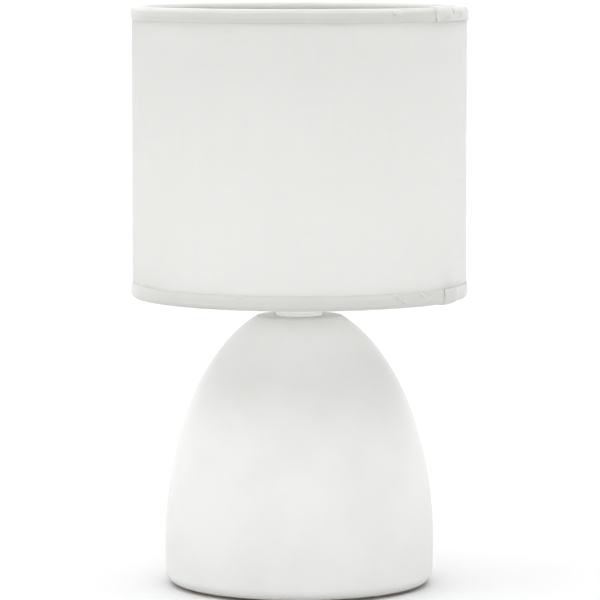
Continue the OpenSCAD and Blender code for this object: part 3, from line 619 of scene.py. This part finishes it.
# The reducer, with its snap lip, and the shade ring with finger grips.
reducer = {"bore": 14.3 * mm, "plate": 1.5 * mm, "boss": 20.9 * mm, "lip": 21.5 * mm, "lipHeight": 1.1 * mm}
plateRadius, reducerLow, reducerHigh = reach("reducer_ring")
lipLow = reducerHigh - reducer["lipHeight"]
outline = rounded([
    (reducer["bore"], reducerLow, 0.3 * mm), (plateRadius, reducerLow, 0.4 * mm),
    (plateRadius, reducerLow + reducer["plate"], 0.4 * mm), (reducer["boss"], reducerLow + reducer["plate"]),
    (reducer["boss"], lipLow), (reducer["lip"], lipLow, 0.15 * mm),
    (reducer["boss"] - 0.2 * mm, reducerHigh, 0.3 * mm), (reducer["bore"], reducerHigh, 0.3 * mm)])
fit(skin("reducerRing", [turned(outline, 144)]), "shade_seat", "white_plastic", pbt, "reducer_ring")

shadeRing = {"bore": 14.3 * mm, "foot": 1.2 * mm, "grips": 20, "gripDepth": 0.75 * mm, "gripWall": 1 * mm}
ringFoot, ringLow, ringHigh = reach("shade_ring")
gripRadius = ringFoot - shadeRing["gripWall"]


def grips(radius, height, angle):
    # round-bottomed grooves between flat ribs, above the ring's foot
    if radius < gripRadius - 0.8 * mm or height < ringLow + shadeRing["foot"] + 0.1 * mm:
        return radius
    wave = max(0.0, math.cos(angle * shadeRing["grips"])) ** 1.5
    return radius - shadeRing["gripDepth"] * wave


gripLow = ringLow + shadeRing["foot"]
outline = (
    rounded([(shadeRing["bore"], ringLow, 0.4 * mm), (ringFoot, ringLow, 0.4 * mm), (ringFoot, gripLow, 0.4 * mm),
             (gripRadius, gripLow, 0.2 * mm), (gripRadius, ringHigh, 0.7 * mm),
             (shadeRing["bore"], ringHigh, 0.5 * mm)], 5))
fit(skin("shadeRing", [turned(outline, 320, grips)]), "shade_clamp", "white_plastic", pbt, "shade_ring")
print("holder, reducer and shade ring made")

# The bulb: a plated cap with a rolled E14 thread, tubular glass, and filament sticks on a glass stem.
bulb = {"pitch": 2.822 * mm, "mean": 6.5 * mm, "wave": 0.38 * mm, "capWall": 0.3 * mm, "bore": 5.72 * mm,
        "threadLength": 12.7 * mm, "threadFade": 0.9 * mm, "flareHeight": 2.4 * mm, "rimHeight": 3.2 * mm,
        "crimps": 8, "crimpDepth": 0.22 * mm, "crimpDown": 1.6 * mm, "shoulder": 9 * mm, "glass": 0.6 * mm,
        "neck": 7.7 * mm, "stemRod": 1.5 * mm, "lead": 0.25 * mm, "sticks": 4, "stickRadius": 0.7 * mm,
        "stickRing": 5.2 * mm, "collar": 7.5 * mm, "crimpTall": 0.5 * mm, "collarSmooth": 1.9 * mm}
capRim, bulbCapLow, bulbCapHigh = reach("bulb_cap")
threadTop = bulbCapLow + bulb["threadLength"]
flareTop = bulbCapHigh - bulb["rimHeight"]
flareBottom = flareTop - bulb["flareHeight"]
phase = reach("screw_shell")[1]


def capThread(radius, height, angle):
    # the thread fades out at both ends, and small crimps hold the cap on the glass
    if radius > bulb["collar"] and height > flareTop:
        crimp = max(0.0, math.cos(angle * bulb["crimps"])) ** 12
        spot = math.exp(-((height - bulbCapHigh + bulb["crimpDown"]) / bulb["crimpTall"]) ** 2)
        return radius - bulb["crimpDepth"] * crimp * spot
    if height > threadTop or radius < bulb["bore"] + 0.1 * mm:
        return radius
    fade = min(1, (height - bulbCapLow) / bulb["threadFade"], (threadTop - height) / bulb["threadFade"])
    return radius + bulb["wave"] * max(0, fade) * math.cos(angle - 2 * math.pi * (height - phase) / bulb["pitch"])


crest = bulb["mean"] + bulb["wave"]
collarLow = bulbCapHigh - bulb["collarSmooth"]
outline = (
    threadRows(bulb["mean"], bulbCapLow, threadTop, bulb["pitch"] * 0.8)
    + rounded([(bulb["mean"], threadTop), (crest, threadTop + 1.2 * mm, 0.6 * mm), (crest, flareBottom, 0.8 * mm),
               (capRim, flareTop, 0.8 * mm), (capRim, collarLow)], 5)[1:]
    + [(capRim, collarLow + 0.15 * mm * k) for k in range(1, 12)]
    + [(capRim, bulbCapHigh), (capRim - bulb["capWall"], bulbCapHigh), (capRim - bulb["capWall"], flareTop),
       (bulb["bore"], flareBottom), (bulb["bore"], bulbCapLow)])
fit(skin("bulbCap", [turned(outline, 144, capThread)]), "bulb", "nickelled_cap", nickel, "bulb_cap")

glassRadius, glassLow, glassHigh = reach("bulb_glass")


def glassOutline(inset):
    # from the open foot of the neck up over the shoulder to the dome
    return (
        [(bulb["neck"] - inset, glassLow), (bulb["neck"] - inset, bulbCapHigh - 0.5 * mm)]
        + arc(bulb["neck"] - inset, bulbCapHigh + bulb["shoulder"], glassRadius - bulb["neck"], bulb["shoulder"],
              -60, 0, 24)
        + arc(0, glassHigh - glassRadius, glassRadius - inset, glassRadius - inset, 0, 90, 24))


outline = glassOutline(0) + glassOutline(bulb["glass"])[::-1]
fit(skin("bulbGlass", [turned(outline, 128)]), "bulb", "clear_glass", glass, "bulb_glass")

stemLow, stemHigh = reach("bulb_stem")[1:]
stemFoot = bulb["neck"] - bulb["glass"] - 0.05 * mm
outline = rounded([
    (0, stemLow), (stemFoot, stemLow, 0.3 * mm), (stemFoot, stemLow + 1 * mm, 0.4 * mm),
    (bulb["stemRod"], stemLow + 10 * mm, 6 * mm), (bulb["stemRod"], stemHigh, 1.2 * mm), (0, stemHigh)], 6)
fit(skin("bulbStem", [turned(outline, 48, loop=False)]), "bulb", "clear_glass", glass, "bulb_stem")

stickLow, stickHigh = reach("bulb_filaments")[1:]
sticks, leads = [], []
for k in range(bulb["sticks"]):
    turn = 2 * math.pi * (k + 0.5) / bulb["sticks"]
    out = Vector((math.cos(turn), math.sin(turn), 0))
    path = [out * bulb["stickRing"] + Vector((0, 0, stickLow + (stickHigh - stickLow) * i / 24)) for i in range(25)]
    sizes = [bulb["stickRadius"] * (0.97 + 0.03 * noise.noise((k * 9, i * 0.7, 0))) for i in range(25)]
    sizes[0], sizes[-1] = sizes[0] * 0.7, sizes[-1] * 0.7
    sticks.append(tube(path, sizes, 20))
    for height in (stickLow - bulb["lead"], stickHigh + bulb["lead"]):
        level = Vector((0, 0, height))
        path = [out * (bulb["stemRod"] + (bulb["stickRing"] - bulb["stemRod"]) * i / 8) + level for i in range(9)]
        leads.append(tube(path, bulb["lead"], 10))
fit(skin("filamentSticks", sticks), "bulb", "filament_phosphor", plain["phosphor sleeve"], "bulb_filaments")
fit(skin("filamentLeads", leads), "bulb", "nickelled_cap", nickel, "bulb_leads")

tipRadius, tipLow, tipHigh = reach("bulb_contact")
outline = [(0, tipLow)] + arc(0, tipHigh, tipRadius, tipHigh - tipLow, -80, 0, 8) + [(0, tipHigh)]
fit(skin("bulbContact", [turned(outline, 48, loop=False)]), "bulb_tip", "solder", metal["tin solder"], "bulb_contact")
insulatorRadius, insulatorLow, insulatorHigh = reach("bulb_insulator")
outline = rounded([
    (0, tipHigh), (tipRadius, tipHigh), (tipRadius, insulatorLow, 0.1 * mm), (3.6 * mm, insulatorLow, 0.5 * mm),
    (insulatorRadius, bulbCapLow - 0.2 * mm, 0.5 * mm), (insulatorRadius, insulatorHigh), (0, insulatorHigh)], 5)
fit(skin("bulbInsulator", [turned(outline, 64, loop=False)]), "bulb_tip", "black_glass", plain["black poured glass"],
    "bulb_insulator")
print("bulb made")

# Parts that the frame already shapes well keep their own mesh and get their real finish.
keptParts = {"lock_washer": zinc, "holder_grub_screw": zinc, "terminal_screws": zinc, "centre_contact": brass,
             "shell_strap": brass, "screw_shell": brass, "holder_core": plain["steatite ceramic"]}
for node, material in keptParts.items():
    coat(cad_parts[node].data, material)

# The shade's frame: two wire rings, a pressed fitter and three bent arms with weld beads.
spider = {"arms": 3, "turn": 90, "wire": 1.4 * mm, "bend": 7 * mm, "hole": 21 * mm, "sheet": 1.2 * mm,
          "bead": 1.35, "ringSides": 20, "fitterWeld": 1.1 * mm, "legWeld": 1.2 * mm, "legWeldUp": 1.4 * mm}
for node, name in (("shade_top_ring", "shadeTopRing"), ("shade_bottom_ring", "shadeBottomRing")):
    outside, low, high = reach(node)
    wire = (high - low) / 2
    section = arc(outside - wire, (low + high) / 2, wire, wire, 0, 360, spider["ringSides"])[:-1]
    fit(skin(name, [turned(section, 240)]), "shade", "white_coated_metal", coated, node)

fitterRadius, fitterLow, fitterHigh = reach("fitter_ring")
sheet = spider["sheet"]
outline = rounded([
    (spider["hole"], fitterHigh - sheet, 0.4 * mm), (fitterRadius - sheet, fitterHigh - sheet, 0.3 * mm),
    (fitterRadius - sheet, fitterLow, 0.4 * mm), (fitterRadius, fitterLow, 0.4 * mm),
    (fitterRadius, fitterHigh, 1.3 * mm), (spider["hole"], fitterHigh, 0.4 * mm)], 5)
fit(skin("shadeFitter", [turned(outline, 160)]), "shade", "white_coated_metal", coated, "fitter_ring")

armLow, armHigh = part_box("spider_arms")
ringRadius = reach("shade_bottom_ring")[0] - spider["wire"]
legRadius = ringRadius - 2 * spider["wire"] + 0.3 * mm
armHeight = armHigh.z - spider["wire"]
arms = []
for k in range(spider["arms"]):
    turn = math.radians(spider["turn"] + 360 / spider["arms"] * k)
    out = Vector((math.cos(turn), math.sin(turn), 0))
    flat = [(fitterRadius - 0.3 * mm + (legRadius - spider["bend"] - fitterRadius) * i / 30, armHeight)
            for i in range(30)]
    bend = arc(legRadius - spider["bend"], armHeight - spider["bend"], spider["bend"], spider["bend"], 90, 0, 12)
    legTop, legLow = armHeight - spider["bend"], armLow.z
    leg = [(legRadius, legTop + (legLow - legTop) * i / 16) for i in range(1, 17)]
    line = flat + bend + leg
    beads = []
    for i, (r, z) in enumerate(line):
        near = max(math.exp(-((r - fitterRadius) / spider["fitterWeld"]) ** 2),
                   math.exp(-((z - legLow - spider["legWeldUp"]) / spider["legWeld"]) ** 2))
        beads.append(spider["wire"] * (1 + (spider["bead"] - 1) * near * (0.8 + 0.3 * noise.noise((k * 5, i, 0)))))
    arms.append(tube([out * r + Vector((0, 0, z)) for r, z in line], beads, 20))
fit(skin("spiderArms", arms), "shade", "white_coated_metal", coated, "spider_arms")
print("shade frame made")

# The drum: cloth laminated on a rolled styrene sheet. Both close with a lap at the rear. lapAt is in degrees to
# the right of the front.
drum = {"cloth": 0.4 * mm, "liner": 0.5 * mm, "lap": 9 * mm, "lapAt": 168, "ripple": 0.04 * mm, "columns": 560,
        "rows": 36, "edgeTaper": 2 * mm, "thinEdge": 0.25, "lapRoom": 1.04, "lapFade": 1.7, "rippleTall": 60 * mm}


def rolledSheet(outerRadius, thickness, low, high, lapSide):
    # a sheet rolled to a drum; its first stretch lies outside (lapSide 1) or inside (-1) its end
    start = math.radians(drum["lapAt"] - 90)
    lapAngle = drum["lap"] / outerRadius
    faces = []
    for outward, order in ((1, 1), (0, -1)):
        face = []
        for k in range(drum["rows"] + 1):
            z = low + (high - low) * k / drum["rows"]
            row = []
            for i in range(drum["columns"] + 1):
                sweep = (2 * math.pi + lapAngle) * i / drum["columns"]
                angle = start + sweep
                lift = (1 - smoothStep(lapAngle, lapAngle * drum["lapFade"], sweep)) * lapSide
                lift *= thickness * drum["lapRoom"]
                full = smoothStep(0, drum["edgeTaper"], sweep * outerRadius)
                full = drum["thinEdge"] + (1 - drum["thinEdge"]) * full
                spot = Vector((math.cos(angle) * 2.3, math.sin(angle) * 2.3, z / drum["rippleTall"]))
                r = outerRadius - thickness + outward * full * thickness
                r += lift + drum["ripple"] * (noise.noise(spot) - 0.4)
                row.append(Vector((r * math.cos(angle), r * math.sin(angle), z)))
            face.append(row)
        faces += face[::order]
    return {"rows": faces, "around": False, "loop": True, "caps": True}


shadeRadius, clothLow, clothHigh = reach("shade_fabric")
linerRadius = reach("shade_liner")[0]
shadeFabric = skin("shadeFabric", [rolledSheet(shadeRadius, drum["cloth"], clothLow, clothHigh, 1)])
fit(shadeFabric, "shade", "shade_fabric", shadeCloth, "shade_fabric")
shadeLiner = skin("shadeLiner", [rolledSheet(linerRadius, drum["liner"], clothLow, clothHigh, -1)])
fit(shadeLiner, "shade", "shade_liner", styrene, "shade_liner")
print("shade drum made:", len(shadeFabric.data.polygons), "faces of cloth")

# A folded tape covers each edge: it runs up the outside, rolls over the ring and is tucked in against the liner.
# A crease is a ridge: at (degrees right of the front), up (from the tape's edge), long, lean (degrees), wide, high.
tape = {"thickness": 0.55 * mm, "corner": 2.0 * mm, "lap": 10 * mm, "columns": 1100, "endTaper": 1.5 * mm,
        "edgeTaper": 2.4 * mm, "valley": 0.25, "valleyAway": 1.3, "creaseReach": 8, "tuckGap": 0.1 * mm,
        "thinEdge": 0.3, "lapRoom": 1.03, "lapFade": 1.6, "liftFade": 3 * mm, "puckerTall": 3.2 * mm}
topTape = {
    "lapAt": 51.5, "edgeLift": 0.5 * mm, "liftFrom": 40, "liftTo": 84, "pucker": 0.16 * mm, "wander": 0.12 * mm,
    "creases": [
        {"at": 33, "up": 3.6, "long": 2.2, "lean": -40, "wide": 0.5, "high": 0.72},
        {"at": 35.5, "up": 3.2, "long": 1.6, "lean": 35, "wide": 0.45, "high": 0.52},
        {"at": 51.8, "up": 1.8, "long": 4.0, "lean": 90, "wide": 0.7, "high": 0.3},
        {"at": 58, "up": 2.4, "long": 3.0, "lean": 30, "wide": 0.6, "high": 0.45},
        {"at": 63, "up": 4.2, "long": 3.4, "lean": -35, "wide": 0.6, "high": 0.59},
        {"at": 70, "up": 2.6, "long": 3.6, "lean": 50, "wide": 0.7, "high": 0.59},
        {"at": 77, "up": 4.4, "long": 3.0, "lean": -25, "wide": 0.7, "high": 0.52},
        {"at": 3, "up": 0.5, "long": 3.0, "lean": 4, "wide": 0.4, "high": 0.29},
    ]}
bottomTape = {
    "lapAt": 57, "edgeLift": 0.35 * mm, "liftFrom": 30, "liftTo": 80, "pucker": 0.12 * mm, "wander": 0.12 * mm,
    "creases": [
        {"at": 34.5, "up": 1.6, "long": 2.6, "lean": 40, "wide": 0.5, "high": 0.52},
        {"at": 37, "up": 3.4, "long": 3.4, "lean": 20, "wide": 0.6, "high": 0.45},
        {"at": 45, "up": 1.2, "long": 3.0, "lean": 25, "wide": 0.5, "high": 0.45},
        {"at": 49, "up": 3.6, "long": 3.0, "lean": -20, "wide": 0.7, "high": 0.39},
        {"at": 57.6, "up": 2.5, "long": 5.0, "lean": 62, "wide": 0.8, "high": 0.24},
        {"at": 24, "up": 2.0, "long": 2.4, "lean": -30, "wide": 0.6, "high": 0.26},
        {"at": -20, "up": 0.6, "long": 2.4, "lean": 5, "wide": 0.4, "high": 0.2},
    ]}


def tapeSection(outside, edge, rolled, wireRadius, wireCentre, linerInside):
    # the middle of the tape's thickness, as (radius, height, outward radius, outward height), from its free edge
    half, corner = tape["thickness"] / 2, tape["corner"]
    up = 1 if rolled > edge else -1
    face = outside - half
    line = []
    for k in range(13):
        line.append((face, edge + (rolled - up * corner - edge) * k / 13, 1, 0))
    for k in range(8):
        a = math.radians(90 * k / 7)
        line.append((face - (corner - half) * (1 - math.cos(a)),
                     rolled - up * (corner - (corner - half) * math.sin(a)), math.cos(a), up * math.sin(a)))
    roll = wireRadius + half
    for k in range(1, 4):
        r = face - (corner - half) + (wireCentre[0] - face + corner - half) * k / 3
        line.append((r, rolled - up * half, 0, up))
    for k in range(1, 13):
        a = math.radians(90 + 180 * k / 12)
        line.append((wireCentre[0] + roll * math.cos(a), wireCentre[1] + up * roll * math.sin(a),
                     math.cos(a), up * math.sin(a)))
    for k in range(1, 4):
        r = wireCentre[0] + (linerInside - tape["tuckGap"] - wireCentre[0]) * k / 3
        line.append((r, wireCentre[1] - up * roll, 0, -up))
    return line


def clothLift(right):
    # the cloth's own lap under the tape lifts it a little
    past = math.radians((right - drum["lapAt"]) % 360) * shadeRadius
    before = smoothStep(-1.5 * mm, 0, past - 2 * math.pi * shadeRadius)
    return drum["cloth"] * max(before, 1 - smoothStep(drum["lap"], drum["lap"] * drum["lapFade"], past))


def creaseHeight(shape, right, up, radius):
    # how far the creases push the tape out at a place on it
    total = 0.0
    for crease in shape["creases"]:
        across = math.radians(right - crease["at"]) * radius / mm
        rise = up / mm - crease["up"]
        if abs(across) > tape["creaseReach"]:
            continue
        lean = math.radians(crease["lean"])
        along = across * math.cos(lean) + rise * math.sin(lean)
        off = rise * math.cos(lean) - across * math.sin(lean)
        taper = math.exp(-(2 * along / crease["long"]) ** 2)
        ridge = math.exp(-(off / crease["wide"]) ** 2)
        valley = math.exp(-((off + tape["valleyAway"] * crease["wide"]) / crease["wide"]) ** 2)
        total += crease["high"] * mm * taper * (ridge - tape["valley"] * valley)
    return total


def foldedTape(name, node, ringNode, shape, up):
    outside, low, high = reach(node)
    ringOutside, ringLow, ringHigh = reach(ringNode)
    wireRadius = (ringHigh - ringLow) / 2
    wireCentre = (ringOutside - wireRadius, (ringLow + ringHigh) / 2)
    edge, rolled = (low, high) if up > 0 else (high, low)
    section = tapeSection(outside, edge, rolled, wireRadius, wireCentre, linerRadius - drum["liner"])
    travelled = [0.0]
    for a, b in zip(section, section[1:]):
        travelled.append(travelled[-1] + math.dist(a[:2], b[:2]))
    start = math.radians(shape["lapAt"] - 90)
    lapAngle = tape["lap"] / outside
    bandEnd = abs(rolled - edge)
    faces = []
    for outward, order in ((1, 1), (0, -1)):
        face = []
        for (r, z, outR, outZ), s in zip(section, travelled):
            row = []
            for i in range(tape["columns"] + 1):
                sweep = (2 * math.pi + lapAngle) * i / tape["columns"]
                angle = start + sweep
                right = fromFront(angle)
                lap = 1 - smoothStep(lapAngle, lapAngle * tape["lapFade"], sweep)
                near = smoothStep(shape["liftFrom"], shape["liftFrom"] + 12, right) * (
                    1 - smoothStep(shape["liftTo"], shape["liftTo"] + 10, right))
                band = 1 - smoothStep(bandEnd - 1.2 * mm, bandEnd + 1.5 * mm, s)
                spot = Vector((math.cos(angle) * 11, math.sin(angle) * 11, s / tape["puckerTall"]))
                push = lap * tape["thickness"] * tape["lapRoom"]
                push += band * (shape["pucker"] * (0.15 + 1.3 * near) * (0.3 + noise.noise(spot)))
                push += near * shape["edgeLift"] * (1 - smoothStep(0, tape["liftFade"], s))
                push += band * creaseHeight(shape, right, s, outside)
                push = max(push, 0) + clothLift(right) * band
                full = min(smoothStep(0, tape["endTaper"], sweep * outside), smoothStep(0, tape["edgeTaper"], s))
                full = tape["thinEdge"] + (1 - tape["thinEdge"]) * full
                push += (outward * full - 0.5) * tape["thickness"]
                slide = shape["wander"] * band * noise.noise((math.cos(angle) * 4, math.sin(angle) * 4, up * 3))
                row.append(Vector(((r + outR * push) * math.cos(angle), (r + outR * push) * math.sin(angle),
                                   z + outZ * push + slide)))
            face.append(row)
        faces += face[::order]
    piece = skin(name, [{"rows": faces, "around": False, "loop": True, "caps": True}], sharpAngle=50)
    fit(piece, "shade", "shade_trim", tapeCloth, node)
    print(name, "tape width", round(travelled[-1] / mm, 1), "mm")
    return piece


foldedTape("shadeTopTape", "shade_top_trim", "shade_top_ring", topTape, 1)
foldedTape("shadeBottomTape", "shade_bottom_trim", "shade_bottom_ring", bottomTape, -1)

# The floor is a plain pale sheet that runs past the picture on every side. The light is a pale cyclorama: a bright
# band round the horizon, which reaches in under the shade, and a broad bright top. sky gives its brightness at
# heights above the horizon, in degrees.
studio = {"floorSize": 60.0, "floor": "#cececf",
          "sky": ((0, 3.7), (7, 3.7), (14, 0.2), (38, 0.45), (62, 3.1))}
floorMesh = bpy.data.meshes.new("studioFloor")
half = studio["floorSize"] / 2
floorMesh.from_pydata([(-half, -half, 0), (half, -half, 0), (half, half, 0), (-half, half, 0)], [], [(0, 1, 2, 3)])
floor = bpy.data.objects.new("studioFloor", floorMesh)
bpy.context.scene.collection.objects.link(floor)
coat(floorMesh, newMaterial("studio floor", studio["floor"], Roughness=0.9)[0])

world = bpy.data.worlds.new("studio")
bpy.context.scene.world = world
world.use_nodes = True
tree = world.node_tree
direction = addNode(tree, "ShaderNodeTexCoord").outputs["Generated"]
upward = addNode(tree, "ShaderNodeSeparateXYZ", {"Vector": direction}).outputs["Z"]
sky = addNode(tree, "ShaderNodeValToRGB", {"Fac": upward})
sky.color_ramp.interpolation = "EASE"
while len(sky.color_ramp.elements) < len(studio["sky"]):
    sky.color_ramp.elements.new(0.5)
for stop, (above, bright) in zip(sky.color_ramp.elements, studio["sky"]):
    stop.position, stop.color = math.sin(math.radians(above)), (bright, bright, bright, 1)
tree.links.new(sky.outputs["Color"], tree.nodes["Background"].inputs["Color"])

suns = {
    "keySun": {"from": (-1.0, -0.3, 0.8), "strength": 0.35, "spread": 50},
    "frontFill": {"from": (0.1, -1.0, 0.05), "strength": 0.3, "spread": 40},
}
for name, sun in suns.items():
    data = bpy.data.lights.new(name, "SUN")
    data.energy, data.angle = sun["strength"], math.radians(sun["spread"])
    light = bpy.data.objects.new(name, data)
    light.location = sun["from"]
    light.rotation_euler = Vector(sun["from"]).to_track_quat("Z", "Y").to_euler()
    bpy.context.scene.collection.objects.link(light)

view = {"from": (0, -1.644, 0.2765), "down": 5.5, "lens": 239, "sensor": 36, "shiftRight": 0.001, "clipEnd": 200}
camera = bpy.data.objects.new("camera", bpy.data.cameras.new("camera"))
camera.location = view["from"]
camera.rotation_euler = (math.radians(90 - view["down"]), 0, 0)
camera.data.lens, camera.data.sensor_width = view["lens"], view["sensor"]
camera.data.shift_x, camera.data.clip_end = view["shiftRight"], view["clipEnd"]
bpy.context.scene.collection.objects.link(camera)
bpy.context.scene.camera = camera
bpy.context.scene.view_settings.view_transform = "Standard"
print("stage, lights and camera set")
